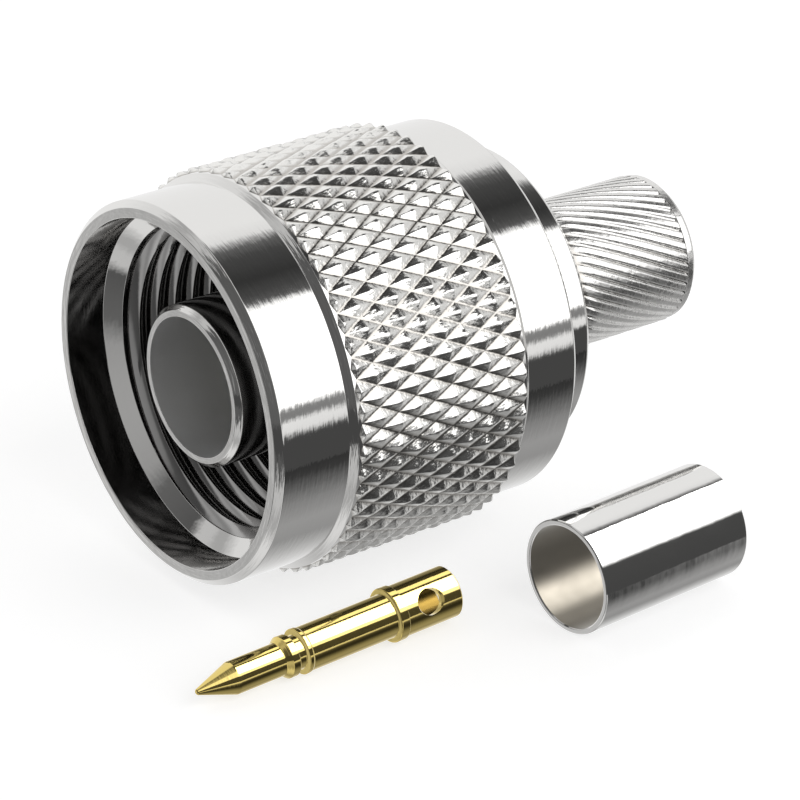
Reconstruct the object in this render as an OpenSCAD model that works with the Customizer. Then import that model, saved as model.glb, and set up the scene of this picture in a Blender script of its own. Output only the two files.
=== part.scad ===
// N-type cable plug with its centre pin and crimp ferrule, unassembled.
// Units are millimetres. The X axis runs from the plug's open front to the cable,
// Z is up, and the origin is the centre of the contact sleeve's front face.

/* [Part] */
// Which piece to draw

/* [Coupling nut] */
// How far the nut's rim stands ahead of the contact sleeve
nut_overhang = 1.5; // [1:0.1:2]
// Length of the nut
nut_length = 17.85; // [17.5:0.05:18.5]
// Radius of the smooth bands in front of and behind the knurl
nut_band_r = 9.64; // [9.5:0.02:9.7]
// Chamfer round the nut's rim
nut_rim_chamfer = 0.34; // [0.2:0.02:0.5]
// Radius over the knurl's points
knurl_crest_r = 10.25; // [10.1:0.05:10.5]
// Radius at the bottom of the knurl's grooves
knurl_root_r = 9.9; // [9.8:0.05:10]
// Distance from the rim to the start of the knurl
knurl_offset = 4.4; // [4:0.1:5]
// Length of the knurl
knurl_length = 10; // [8:0.2:10.4]
// Diamonds round the nut
knurl_diamonds = 58; // [40:1:64]
// Half rows of diamonds along the nut
knurl_rows = 9; // [5:1:11]
// Wall round the plain entry ahead of the thread
nut_rim_wall = 0.84; // [0.7:0.02:1]
// Depth of the plain entry
entry_depth = 2.15; // [1.9:0.05:2.3]
// Crest radius of the 5/8-24 UNEF thread inside
thread_r = 7.5; // [7.45:0.01:7.55]
// Length of the thread
thread_length = 6; // [5:0.1:6.1]
// Radius of the relief behind the thread
relief_r = 8.1; // [8:0.05:8.3]
// Length of the cone at each end of the relief
relief_chamfer = 0.6; // [0.4:0.05:0.8]

/* [Front shell] */
// Outside radius of the contact sleeve
sleeve_r = 4.1; // [4:0.02:4.2]
// Inside radius of the contact sleeve
sleeve_bore_r = 3.55; // [3.5:0.01:3.6]
// Distance from the sleeve's front face to the hub
sleeve_length = 8.5; // [8.3:0.05:8.8]
// How far the seat under the gasket stands out from the sleeve
gasket_seat_step = 0.25; // [0.15:0.05:0.4]
// Radius of the hub that the nut turns on
hub_r = 7.0; // [6.8:0.05:7.2]
// Distance from the sleeve's front face to the shoulder that stops the bead
bead_seat = 7.5; // [7:0.1:7.8]
// Radius of the insulator bead's socket
bead_r = 3.9; // [3.7:0.05:4.1]
// Length of the insulator bead
bead_length = 4.5; // [4:0.1:5]
// Radius of the shell's rear socket, which takes the stem
spigot_r = 5.2; // [5:0.05:5.5]

/* [Crimp stem] */
// Radius of the flange behind the nut
flange_r = 7.9; // [7.6:0.1:8.4]
// Length of the flange
flange_length = 2.1; // [1.5:0.1:3]
// Radius over the stem's ribs
stem_r = 3.9; // [3.7:0.05:4.2]
// Depth of the grooves between the ribs
stem_rib_depth = 0.22; // [0.15:0.01:0.3]
// Ribs round the stem
stem_ribs = 42; // [30:1:50]
// Length of the plain neck between the flange and the ribs
neck_length = 3.1; // [2:0.1:4]
// Length of the ribs along the stem
ribs_length = 6.35; // [5:0.05:8]
// Length of the plain rim behind the ribs
stem_rim = 0.75; // [0.6:0.05:1]
// Degrees that one rib turns over the ribs' length
stem_twist = 48; // [0:1:60]
// Radius of the hole for the cable, through the stem and the ferrule
cable_bore_r = 2.6; // [2.4:0.05:2.7]

/* [Centre pin] */
// Length of the pin
pin_length = 14.7; // [14.2:0.1:16]
// Radius of the contact tip
pin_tip_r = 0.825; // [0.81:0.005:0.84]
// Radius of the plain body behind the lip
pin_body_r = 1.1; // [1:0.05:1.15]
// Radius of the crimp barrel
pin_barrel_r = 1.3; // [1.25:0.05:1.35]
// Radius of the ring in front of the barrel
pin_ring_r = 1.38; // [1.34:0.02:1.6]
// Radius of the collar behind the tip
pin_collar_r = 1.05; // [0.95:0.05:1.3]
// Radius of the hole for the conductor
conductor_r = 0.95; // [0.8:0.05:1]
// Radius of the inspection hole
window_r = 0.66; // [0.5:0.02:0.7]
// Turn of the inspection hole about the pin, from straight up towards the near side
window_turn = 62; // [0:1:180]

/* [Crimp ferrule] */
// Length of the ferrule
ferrule_length = 9.3; // [7:0.1:11]
// Wall of the ferrule
ferrule_wall = 0.3; // [0.25:0.05:0.4]

/* [Where the loose pieces lie] */
// Where the pin's tip lies, along and across the plug
pin_tip_at = [-7.35, -11.1]; // [-20:0.05:20]
// Turn of the pin about the vertical
pin_yaw = 0.1; // [-10:0.1:10]
// Where the ferrule's front end lies, along and across the plug
ferrule_at = [11.2, -15.35]; // [-20:0.05:20]
// Turn of the ferrule about the vertical
ferrule_yaw = 3.8; // [-10:0.1:10]

/* [Hidden] */
$fa = 4;
$fs = 0.2;
nickel = [0.80, 0.80, 0.79];
gold = [0.84, 0.70, 0.38];
ptfe = [0.93, 0.93, 0.90];
black_rubber = [0.09, 0.09, 0.09];
steel = [0.62, 0.62, 0.62];

nut_front = -nut_overhang;
nut_rear = nut_front + nut_length;
entry_r = nut_band_r - nut_rim_wall;
hub_front = sleeve_length;
hub_rear = nut_rear;
floor_z = -knurl_crest_r;
running_gap = 0.05;     // radial, between the hub and the nut that turns on it
nut_play = 0.15;        // axial, between the nut and the flange behind it
close_fit = 0.02;       // radial, where one fixed piece is pushed into another
buried = 0.5;           // how deep a knurl's ring reaches into the wall it stands on

// Retaining ring: half in the hub's groove, half in the nut's.
ring_width = 0.8;
ring_setback = 4.35;    // from the nut's rear face to the ring's front
ring_at = nut_rear - ring_setback;
ring_inner_r = hub_r - 0.55;
ring_outer_r = hub_r + 0.45;
ring_slack = 0.15;      // each side of the ring in its grooves
ring_gap_angle = 24;

gasket_r = hub_r + 0.3;
gasket_thickness = 1.4;
gasket_seat_r = sleeve_r + gasket_seat_step;
gasket_front = hub_front - gasket_thickness;

flange_front = hub_rear + nut_play;
flange_rear = flange_front + flange_length;
stem_neck_r = stem_r - 0.3;
ribs_start = flange_rear + neck_length;
ribs_end = ribs_start + ribs_length;
stem_end = ribs_end + stem_rim;

// Stations along the pin, from its tip.
pin_cone_end = 2;
pin_collar_start = 4.6;
pin_collar_end = 5.3;
pin_neck_end = 5.75;
pin_ring_start = 10.95;
pin_ring_end = 11.45;
pin_window_at = 12.86;
pin_bore_start = 11.6;
pin_lip_r = pin_body_r + 0.05;

ferrule_bore_r = cable_bore_r;
ferrule_r = ferrule_bore_r + ferrule_wall;

// Turns a profile of [radius, x] points about the X axis.
module turned(profile) {
    rotate([0, 90, 0])
        rotate_extrude()
            polygon(profile);
}

// A closed band of computed rings: outer(k, j) gives the radius of point j on ring k.
// Each ring has `count` points and stands at x[k], turned by turn[k] degrees.
module band(x, turn, count, radii, inner_r, flip) {
    rings = len(x);
    last = rings - 1;
    outer = [for (k = [0 : last]) for (j = [0 : count - 1])
        let (a = 360 * j / count + turn[k], r = radii[k][j])
        [x[k], r * cos(a), r * sin(a)]];
    inner = [for (end = [0, last]) for (j = [0 : count - 1])
        let (a = 360 * j / count + turn[end])
        [x[end], inner_r * cos(a), inner_r * sin(a)]];
    base = len(outer);
    // With flip, the diagonal of each cell joins the two corners of even k + j.
    skin = [for (k = [0 : last - 1]) for (j = [0 : count - 1])
        let (n = (j + 1) % count,
             a = k * count + j, b = k * count + n,
             c = a + count, d = b + count)
        each (flip && (k + j) % 2 == 1 ? [[a, c, b], [b, c, d]]
                                       : [[a, d, b], [a, c, d]])];
    lining = [for (j = [0 : count - 1])
        let (n = (j + 1) % count,
             a = base + j, b = base + n, c = a + count, d = b + count)
        each [[a, b, d], [a, d, c]]];
    front = [for (j = [0 : count - 1])
        let (n = (j + 1) % count)
        each [[j, n, base + n], [j, base + n, base + j]]];
    top = last * count;
    back = [for (j = [0 : count - 1])
        let (n = (j + 1) % count, m = base + count)
        each [[top + j, m + n, top + n], [top + j, m + j, m + n]]];
    polyhedron(concat(outer, inner), concat(skin, lining, front, back), convexity = 6);
}

// Diamond knurl: valleys cross where k + j is even, and a point stands between them.
// At both ends the points fall to the valleys over edge_run.
module diamond_knurl(start, length, root_r, crest_r, edge_run) {
    count = 2 * knurl_diamonds;
    last = knurl_rows + 2;
    pitch = (length - 2 * edge_run) / knurl_rows;
    band(x = [for (k = [0 : last])
             k == 0 ? start : k == last ? start + length
                                        : start + edge_run + pitch * (k - 1)],
         turn = [for (k = [0 : last]) 0],
         count = count,
         radii = [for (k = [0 : last]) [for (j = [0 : count - 1])
             k == 0 || k == last || (k + j) % 2 == 0 ? root_r : crest_r]],
         inner_r = root_r - buried,
         flip = true);
}

// One-way knurl of fine slanting ribs.
module slanting_ribs(start, end, root_r, crest_r) {
    steps = 8;
    count = 2 * stem_ribs;
    band(x = [for (k = [0 : steps]) start + (end - start) * k / steps],
         turn = [for (k = [0 : steps]) stem_twist * k / steps],
         count = count,
         radii = [for (k = [0 : steps]) [for (j = [0 : count - 1])
             j % 2 == 0 ? root_r : crest_r]],
         inner_r = root_r - buried,
         flip = false);
}

module coupling_nut() {
    edge_run = 0.2;
    knurl_start = nut_front + knurl_offset;
    knurl_end = knurl_start + knurl_length;
    base_r = knurl_root_r - 0.04;
    thread_start = nut_front + entry_depth + (entry_r - thread_r) * 0.7;
    thread_end = thread_start + thread_length;
    relief_end = hub_front + relief_chamfer;
    groove_r = ring_outer_r + ring_slack;
    groove_front = ring_at - ring_slack;
    groove_rear = ring_at + ring_width + ring_slack;
    color(nickel) {
        turned([
            [entry_r, nut_front],
            [nut_band_r - nut_rim_chamfer, nut_front],
            [nut_band_r, nut_front + nut_rim_chamfer],
            [nut_band_r, knurl_start - base_r + nut_band_r],
            [base_r, knurl_start],
            [base_r, knurl_end],
            [nut_band_r, knurl_end + base_r - nut_band_r],
            [nut_band_r, nut_rear - 0.25],
            [nut_band_r - 0.25, nut_rear],
            [hub_r + running_gap + 0.3, nut_rear],
            [hub_r + running_gap, nut_rear - 0.3],
            [hub_r + running_gap, groove_rear],
            [groove_r, groove_rear],
            [groove_r, groove_front],
            [hub_r + running_gap, groove_front],
            [hub_r + running_gap, relief_end + relief_chamfer],
            [relief_r, relief_end],
            [relief_r, thread_end + relief_chamfer],
            [thread_r, thread_end],
            [thread_r, thread_start],
            [entry_r, nut_front + entry_depth]
        ]);
        diamond_knurl(knurl_start, knurl_length, knurl_root_r, knurl_crest_r, edge_run);
    }
}

module front_shell() {
    groove_front = ring_at - ring_slack;
    groove_rear = ring_at + ring_width + ring_slack;
    groove_r = ring_inner_r - 0.05;
    color(nickel)
        turned([
            [sleeve_bore_r, 0],
            [sleeve_r - 0.35, 0],
            [sleeve_r, 0.4],
            [sleeve_r, gasket_front],
            [gasket_seat_r, gasket_front],
            [gasket_seat_r, hub_front],
            [hub_r - 0.3, hub_front],
            [hub_r, hub_front + 0.3],
            [hub_r, groove_front],
            [groove_r, groove_front],
            [groove_r, groove_rear],
            [hub_r, groove_rear],
            [hub_r, hub_rear],
            [spigot_r, hub_rear],
            [spigot_r, bead_seat + bead_length],
            [bead_r, bead_seat + bead_length],
            [bead_r, bead_seat],
            [sleeve_bore_r, bead_seat]
        ]);
}

module crimp_stem() {
    front = bead_seat + bead_length;
    color(nickel) {
        turned([
            [cable_bore_r, front],
            [spigot_r - close_fit - 0.3, front],
            [spigot_r - close_fit, front + 0.3],
            [spigot_r - close_fit, hub_rear],
            [hub_r - 0.4, hub_rear],
            [hub_r - 0.4, flange_front],
            [flange_r, flange_front],
            [flange_r, flange_rear - 0.3],
            [flange_r - 0.3, flange_rear],
            [stem_neck_r, flange_rear],
            [stem_neck_r, ribs_start],
            [stem_r - stem_rib_depth - 0.04, ribs_start + 0.2],
            [stem_r - stem_rib_depth - 0.04, ribs_end],
            [stem_r - 0.1, ribs_end + 0.1],
            [stem_r - 0.1, stem_end - 0.3],
            [stem_r - 0.4, stem_end],
            [cable_bore_r + 0.3, stem_end],
            [cable_bore_r, stem_end - 0.3]
        ]);
        slanting_ribs(ribs_start + 0.3, ribs_end - 0.05, stem_r - stem_rib_depth, stem_r);
    }
}

// Sprung C-ring that holds the nut on the hub.
module retaining_ring() {
    color(steel)
        difference() {
            turned([
                [ring_inner_r, ring_at],
                [ring_outer_r, ring_at],
                [ring_outer_r, ring_at + ring_width],
                [ring_inner_r, ring_at + ring_width]
            ]);
            rotate([90 - ring_gap_angle / 2, 0, 0])
                translate([ring_at - ring_width, 0, 0])
                    rotate([0, 90, 0])
                        rotate_extrude(angle = ring_gap_angle)
                            square([1.2 * ring_outer_r, 3 * ring_width]);
        }
}

// Weather gasket that the mating socket's rim presses on.
module gasket() {
    color(black_rubber)
        turned([
            [gasket_seat_r + close_fit, gasket_front],
            [gasket_r, gasket_front],
            [gasket_r, hub_front],
            [gasket_seat_r + close_fit, hub_front]
        ]);
}

module insulator_bead() {
    hole_r = pin_body_r + close_fit;
    color(ptfe)
        turned([
            [hole_r + 0.3, bead_seat],
            [bead_r - close_fit, bead_seat],
            [bead_r - close_fit, bead_seat + bead_length],
            [hole_r + 0.3, bead_seat + bead_length],
            [hole_r, bead_seat + bead_length - 0.3],
            [hole_r, bead_seat + 0.3]
        ]);
}

module pin_shape() {
    tip_flat_r = 0.1;
    neck_r = 0.85;
    difference() {
        turned([
            [0, 0],
            [tip_flat_r, 0],
            [tip_flat_r + 0.05, 0.05],
            [pin_tip_r, pin_cone_end],
            [pin_tip_r, pin_collar_start],
            [pin_collar_r, pin_collar_start + 0.3],
            [pin_collar_r, pin_collar_end],
            [neck_r, pin_collar_end],
            [neck_r, pin_neck_end],
            [pin_lip_r, pin_neck_end],
            [pin_lip_r, pin_neck_end + 0.2],
            [pin_body_r, pin_neck_end + 0.3],
            [pin_body_r, pin_ring_start],
            [pin_ring_r, pin_ring_start],
            [pin_ring_r, pin_ring_end],
            [pin_barrel_r, pin_ring_end],
            [pin_barrel_r, pin_length - 0.1],
            [pin_barrel_r - 0.1, pin_length],
            [conductor_r + 0.15, pin_length],
            [conductor_r, pin_length - 0.15],
            [conductor_r, pin_bore_start + 0.4],
            [0, pin_bore_start]
        ]);
        rotate([window_turn, 0, 0])
            translate([pin_window_at, 0, 0])
                cylinder(r = window_r, h = 2 * pin_barrel_r);
    }
}

// The pin lies on its ring and on the lip of its body.
module centre_pin() {
    lean = atan((pin_ring_r - pin_lip_r) / (pin_ring_start - pin_neck_end));
    height = pin_lip_r * cos(lean) - pin_neck_end * sin(lean);
    color(gold)
        translate([pin_tip_at[0], pin_tip_at[1], floor_z + height])
            rotate([0, -lean, pin_yaw])
                pin_shape();
}

module crimp_ferrule() {
    edge = 0.12;
    color(nickel)
        translate([ferrule_at[0], ferrule_at[1], floor_z + ferrule_r])
            rotate([0, 0, ferrule_yaw])
                turned([
                    [ferrule_bore_r, edge],
                    [ferrule_bore_r + edge, 0],
                    [ferrule_r - edge, 0],
                    [ferrule_r, edge],
                    [ferrule_r, ferrule_length - edge],
                    [ferrule_r - edge, ferrule_length],
                    [ferrule_bore_r + edge, ferrule_length],
                    [ferrule_bore_r, ferrule_length - edge]
                ]);
}

coupling_nut();
front_shell();
crimp_stem();
retaining_ring();
gasket();
insulator_bead();
centre_pin();
crimp_ferrule();
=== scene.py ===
import math
import bmesh
import bpy
from mathutils import Matrix, Vector


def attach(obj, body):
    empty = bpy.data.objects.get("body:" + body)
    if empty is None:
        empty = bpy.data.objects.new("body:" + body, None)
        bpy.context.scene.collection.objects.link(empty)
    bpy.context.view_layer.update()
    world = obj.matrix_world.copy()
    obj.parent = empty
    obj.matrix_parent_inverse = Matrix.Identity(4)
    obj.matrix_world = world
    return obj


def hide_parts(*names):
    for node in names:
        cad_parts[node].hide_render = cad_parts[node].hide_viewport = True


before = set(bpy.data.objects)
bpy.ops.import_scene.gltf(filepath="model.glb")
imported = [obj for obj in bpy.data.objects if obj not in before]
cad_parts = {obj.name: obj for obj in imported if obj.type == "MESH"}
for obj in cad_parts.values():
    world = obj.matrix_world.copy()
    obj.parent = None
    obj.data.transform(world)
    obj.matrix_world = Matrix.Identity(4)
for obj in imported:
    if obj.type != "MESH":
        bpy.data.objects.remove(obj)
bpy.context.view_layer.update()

mm = 0.001
print("frame loaded:", len(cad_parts), "nodes")


def linearColour(hexText):
    channels = [int(hexText[i:i + 2], 16) / 255 for i in (1, 3, 5)]
    curve = [c / 12.92 if c <= 0.04045 else ((c + 0.055) / 1.055) ** 2.4 for c in channels]
    return (*curve, 1.0)


def addNode(tree, kind, settings={}, inputs={}):
    # an input is a number, a socket, or a node whose first output is meant
    node = tree.nodes.new(kind)
    for name, value in settings.items():
        setattr(node, name, value)
    for key, value in inputs.items():
        if isinstance(value, bpy.types.Node):
            tree.links.new(value.outputs[0], node.inputs[key])
        elif isinstance(value, bpy.types.NodeSocket):
            tree.links.new(value, node.inputs[key])
        else:
            node.inputs[key].default_value = value
    return node


# Camera: a long lens, low on the plug's open front

cameraSizes = {  # mm
    "standsAt": (-100.4, -153.6, 88.3),
    "looksAt": (7.6, -6.8, -0.2),
    "lens": 189,
    "sensor": 36,
}

cameraData = bpy.data.cameras.new("studioCamera")
cameraData.lens = cameraSizes["lens"]
cameraData.sensor_width = cameraSizes["sensor"]
camera = bpy.data.objects.new("studioCamera", cameraData)
bpy.context.scene.collection.objects.link(camera)
camera.location = Vector(cameraSizes["standsAt"]) * mm
lookingAlong = Vector(cameraSizes["looksAt"]) * mm - camera.location
camera.rotation_euler = lookingAlong.to_track_quat("-Z", "Y").to_euler()
bpy.context.scene.camera = camera
bpy.context.scene.view_settings.view_transform = "Standard"

# Studio: a light tent whose panels run along the plug, with gaps between them, and a darker open end

lightTent = {
    "brightest": 2.0,
    "alongPlug": [  # degrees about the plug's length, from straight up towards the camera's side
        (-180, 0.34), (-168, 0.50), (-157, 0.66), (-145, 0.80), (-130, 0.92), (-115, 0.94),
        (-30, 0.98), (-20, 0.90), (-17, 0.50), (-13, 0.14), (-6, 0.07), (10, 0.04), (19, 0.07),
        (25, 0.12), (27, 0.95), (31, 2.0), (86, 2.0), (89, 0.28), (94, 0.24), (97, 0.95), (102, 0.90),
        (106, 0.16), (112, 0.06), (122, 0.03), (131, 0.05), (139, 0.14), (150, 0.28), (165, 0.38),
        (180, 0.34),
    ],
    "towardsOpenEnd": [  # by how far the direction points to the open end
        (-1.0, 0.42), (-0.93, 0.36), (-0.88, 0.14), (-0.71, 0.10), (-0.66, 0.62), (-0.60, 0.60),
        (-0.55, 0.46), (-0.50, 0.46), (-0.40, 0.84), (1.0, 0.95),
    ],
    "openEndFrom": -0.05, "openEndFull": -0.35,
    "cableEnd": 0.75, "cableEndFrom": 0.62, "cableEndFull": 0.8,
    "backdrop": 1.0,
}


def fillRamp(ramp, steps, low, high):
    while len(ramp.elements) < len(steps):
        ramp.elements.new(1.0)
    for element, (place, level) in zip(ramp.elements, steps):
        element.position = (place - low) / (high - low)
        share = level / lightTent["brightest"]
        element.color = (share, share, share, 1)


world = bpy.data.worlds.new("lightTent")
bpy.context.scene.world = world
world.use_nodes = True
sky = world.node_tree
sky.nodes.clear()
direction = addNode(sky, "ShaderNodeTexCoord")
axes = addNode(sky, "ShaderNodeSeparateXYZ", {}, {0: direction.outputs["Generated"]})
towardsCamera = addNode(sky, "ShaderNodeMath", {"operation": "MULTIPLY"}, {0: axes.outputs["Y"], 1: -1.0})
bearing = addNode(sky, "ShaderNodeMath", {"operation": "ARCTAN2"}, {0: towardsCamera, 1: axes.outputs["Z"]})
turnShare = addNode(sky, "ShaderNodeMapRange", {}, {
    "Value": bearing, "From Min": -math.pi, "From Max": math.pi})
panels = addNode(sky, "ShaderNodeValToRGB", {}, {0: turnShare})
fillRamp(panels.color_ramp, lightTent["alongPlug"], -180, 180)
openSide = addNode(sky, "ShaderNodeMapRange", {}, {
    "Value": axes.outputs["X"], "From Min": -1.0, "From Max": 1.0})
openPanels = addNode(sky, "ShaderNodeValToRGB", {}, {0: openSide})
fillRamp(openPanels.color_ramp, lightTent["towardsOpenEnd"], -1, 1)
openShare = addNode(sky, "ShaderNodeMapRange", {"interpolation_type": "SMOOTHSTEP"}, {
    "Value": axes.outputs["X"], "From Min": lightTent["openEndFrom"], "From Max": lightTent["openEndFull"]})
bothPanels = addNode(sky, "ShaderNodeMix", {"data_type": "RGBA"}, {0: openShare, 6: panels, 7: openPanels})
panelLevel = addNode(sky, "ShaderNodeMath", {"operation": "MULTIPLY"}, {
    0: bothPanels.outputs[2], 1: lightTent["brightest"]})
cableShare = addNode(sky, "ShaderNodeMapRange", {"interpolation_type": "SMOOTHSTEP"}, {
    "Value": axes.outputs["X"], "From Min": lightTent["cableEndFrom"], "From Max": lightTent["cableEndFull"]})
withCableEnd = addNode(sky, "ShaderNodeMix", {"data_type": "FLOAT"}, {
    0: cableShare, 2: panelLevel, 3: lightTent["cableEnd"]})
rays = addNode(sky, "ShaderNodeLightPath")
seenLevel = addNode(sky, "ShaderNodeMix", {"data_type": "FLOAT"}, {
    0: rays.outputs["Is Camera Ray"], 2: withCableEnd, 3: lightTent["backdrop"]})
tent = addNode(sky, "ShaderNodeBackground", {}, {"Color": seenLevel, "Strength": 1.0})
addNode(sky, "ShaderNodeOutputWorld", {}, {"Surface": tent})
print("camera and light tent set")


# Turned pieces

def newObject(name, mesh):
    thing = bpy.data.objects.new(name, mesh)
    bpy.context.scene.collection.objects.link(thing)
    return thing


def frozen(thing):  # a plain mesh in place of the object's modifiers
    bpy.context.view_layer.update()
    depsgraph = bpy.context.evaluated_depsgraph_get()
    mesh = bpy.data.meshes.new_from_object(thing.evaluated_get(depsgraph))
    thing.modifiers.clear()
    thing.data = mesh
    return thing


rounding = {"onAxis": 1e-6, "longestShare": 0.45, "degreesAStep": 18}  # the share is of an edge


def filleted(corners, roundness):
    # corners: (x, r) or (x, r, fillet), a closed loop in mm; returns points with their surface normals
    points = []
    for i, corner in enumerate(corners):
        here = Vector(corner[:2])
        before = Vector(corners[i - 1][:2]) - here
        after = Vector(corners[(i + 1) % len(corners)][:2]) - here
        if here.y < rounding["onAxis"]:  # a corner on the axis stays sharp
            points.append((here, Vector((-1, 0)) if i == 0 else Vector((1, 0))))
            continue
        half = before.angle(after) / 2
        wanted = (corner[2] if len(corner) > 2 else roundness) / math.tan(half)
        reach = min(wanted, rounding["longestShare"] * before.length, rounding["longestShare"] * after.length)
        radius = reach * math.tan(half)
        start = here + before.normalized() * reach
        centre = here + (before.normalized() + after.normalized()).normalized() * radius / math.sin(half)
        sweep = math.pi - 2 * half
        side = 1 if before.cross(after) > 0 else -1
        pieces = max(2, math.ceil(math.degrees(sweep) / rounding["degreesAStep"]))
        for k in range(pieces + 1):
            spoke = Matrix.Rotation(-side * sweep * k / pieces, 2) @ (start - centre)
            points.append((centre + spoke, spoke.normalized() * side))
    return points


def turned(name, corners, finishes, segments=256, roundness=0.03, place=Matrix()):
    # a piece turned about X from its closed half section
    verts, normals, faces, rings = [], [], [], []
    for point, normal in filleted(corners, roundness):
        ring = []
        for s in range(1 if point.y < rounding["onAxis"] else segments):
            angle = 2 * math.pi * s / segments
            c, d = math.cos(angle), math.sin(angle)
            ring.append(len(verts))
            verts.append(place @ Vector((point.x, point.y * c, point.y * d)) * mm)
            normals.append(place.to_3x3() @ Vector((normal.x, normal.y * c, normal.y * d)))
        rings.append(ring)
    for a, b in zip(rings, rings[1:] + rings[:1]):
        if len(a) == 1 and len(b) == 1:
            continue
        for s in range(segments):
            t = (s + 1) % segments
            quad = [a[s % len(a)], b[s % len(b)], b[t % len(b)], a[t % len(a)]]
            faces.append([v for k, v in enumerate(quad) if v not in quad[:k]])
    mesh = bpy.data.meshes.new(name)
    mesh.from_pydata(verts, [], faces)
    for finish in finishes:
        mesh.materials.append(finish)
    shape = bmesh.new()
    shape.from_mesh(mesh)
    if shape.calc_volume(signed=True) < 0:
        bmesh.ops.reverse_faces(shape, faces=shape.faces)
    shape.to_mesh(mesh)
    shape.free()
    mesh.polygons.foreach_set("use_smooth", [True] * len(mesh.polygons))
    mesh.normals_split_custom_set_from_vertices(normals)
    return newObject(name, mesh)


# Finishes. A mark's pitch, run, cloud, lump and their depths are in mm.

def newMaterial(name):
    material = bpy.data.materials.new(name)
    material.use_nodes = True
    material.node_tree.nodes.clear()
    return material


def plated(name, base, rough, marks, place=Matrix()):
    # feed marks comb the mirror image round the axis, lumps break it, and a cloud varies its gloss
    material = newMaterial(name)
    tree = material.node_tree
    back = place.inverted()
    coordinates = addNode(tree, "ShaderNodeTexCoord")
    onAxis = addNode(tree, "ShaderNodeMapping", {"vector_type": "POINT"}, {
        "Vector": coordinates.outputs["Object"],
        "Location": back.translation * mm, "Rotation": back.to_euler()})
    parts = addNode(tree, "ShaderNodeSeparateXYZ", {}, {0: onAxis})
    ySquare = addNode(tree, "ShaderNodeMath", {"operation": "POWER"}, {0: parts.outputs["Y"], 1: 2.0})
    zSquare = addNode(tree, "ShaderNodeMath", {"operation": "POWER"}, {0: parts.outputs["Z"], 1: 2.0})
    squares = addNode(tree, "ShaderNodeMath", {"operation": "ADD"}, {0: ySquare, 1: zSquare})
    radius = addNode(tree, "ShaderNodeMath", {"operation": "SQRT"}, {0: squares})
    along = addNode(tree, "ShaderNodeMath", {"operation": "ADD"}, {0: radius, 1: parts.outputs["X"]})
    perPitch, perRun = 1 / (marks["pitch"] * mm), 1 / (marks["run"] * mm)
    fine = addNode(tree, "ShaderNodeMath", {"operation": "MULTIPLY"}, {0: along, 1: perPitch})
    slowY = addNode(tree, "ShaderNodeMath", {"operation": "MULTIPLY"}, {0: parts.outputs["Y"], 1: perRun})
    slowZ = addNode(tree, "ShaderNodeMath", {"operation": "MULTIPLY"}, {0: parts.outputs["Z"], 1: perRun})
    combed = addNode(tree, "ShaderNodeCombineXYZ", {}, {0: fine, 1: slowY, 2: slowZ})
    feed = addNode(tree, "ShaderNodeTexNoise", {}, {
        "Vector": combed, "Scale": 1.0, "Detail": 2.0, "Roughness": 0.6})
    lumps = addNode(tree, "ShaderNodeTexNoise", {}, {
        "Vector": onAxis, "Scale": 1 / (marks["lump"] * mm), "Detail": 2.0, "Roughness": 0.5})
    cloud = addNode(tree, "ShaderNodeTexNoise", {}, {
        "Vector": onAxis, "Scale": 1 / (marks["cloud"] * mm), "Detail": 3.0, "Roughness": 0.5})
    uneven = addNode(tree, "ShaderNodeMapRange", {}, {
        "Value": cloud, "From Min": 0.3, "From Max": 0.7, "To Min": rough[0], "To Max": rough[1]})
    lumpHeight = addNode(tree, "ShaderNodeMath", {"operation": "MULTIPLY"}, {0: lumps, 1: marks["lumpDepth"]})
    height = addNode(tree, "ShaderNodeMath", {"operation": "MULTIPLY_ADD"}, {
        0: feed, 1: marks["depth"], 2: lumpHeight})
    relief = addNode(tree, "ShaderNodeBump", {}, {"Height": height, "Strength": 1.0, "Distance": mm})
    colour = linearColour(base)
    if "valleyShadeTo" in marks:  # painted shade: the colour darkens into the valleys, from one radius to another
        rise = addNode(tree, "ShaderNodeMapRange", {}, {
            "Value": radius, "From Min": marks["valleyShadeFrom"] * mm, "From Max": marks["valleyShadeTo"] * mm})
        colour = addNode(tree, "ShaderNodeMix", {"data_type": "RGBA"}, {
            0: rise, 6: linearColour(marks["valley"]), 7: colour}).outputs[2]
    shader = addNode(tree, "ShaderNodeBsdfPrincipled", {}, {
        "Base Color": colour, "Metallic": 1.0, "Roughness": uneven, "Normal": relief})
    addNode(tree, "ShaderNodeOutputMaterial", {}, {"Surface": shader})
    return material


# Bright nickel on turned brass: crisp mirror bands with combed edges.
# A usual feed of about 0.05 mm is too fine to show, so it is drawn at 0.18 mm.
turnedMarks = {"pitch": 0.18, "run": 1.4, "cloud": 1.6, "depth": 0.009, "lump": 0.5, "lumpDepth": 0.003}
nickelPlate = plated("nickelPlateOnTurnedBrass", "#E5E4E2", (0.03, 0.07), turnedMarks)

# Nickel on a rolled knurl: every flank glints by itself, pebbled by the rolls, and the valleys are painted
# darker as shade
rolledMarks = {
    "pitch": 0.15, "run": 3.0, "cloud": 0.6, "depth": 0.002, "lump": 0.28, "lumpDepth": 0.034,
    "valleyShadeFrom": 9.98, "valleyShadeTo": 10.08, "valley": "#B9B5AF",
}
knurlPlate = plated("nickelPlateOnRolledKnurl", "#EFEEEB", (0.13, 0.22), rolledMarks)

# Nickel in the nut and on what it hides: thinner where the bath throws less, so a little softer, and its
# colour painted greyer as shade
boredMarks = {"pitch": 0.2, "run": 2.0, "cloud": 1.2, "depth": 0.0015, "lump": 0.6, "lumpDepth": 0.002}
innerPlate = plated("nickelPlateInTheNutWithPaintedShade", "#B0AFAE", (0.08, 0.14), boredMarks)

# Nickel on rolled ribs: satin backs, with the grooves between them painted darker as shade
ribbedMarks = {
    "pitch": 0.2, "run": 2.0, "cloud": 0.6, "depth": 0.003, "lump": 0.24, "lumpDepth": 0.02,
    "valleyShadeFrom": 3.66, "valleyShadeTo": 3.76, "valley": "#B9B5AF",
}
ribbedPlate = plated("nickelPlateOnRolledRibs", "#E5E4E2", (0.22, 0.32), ribbedMarks)

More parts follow.
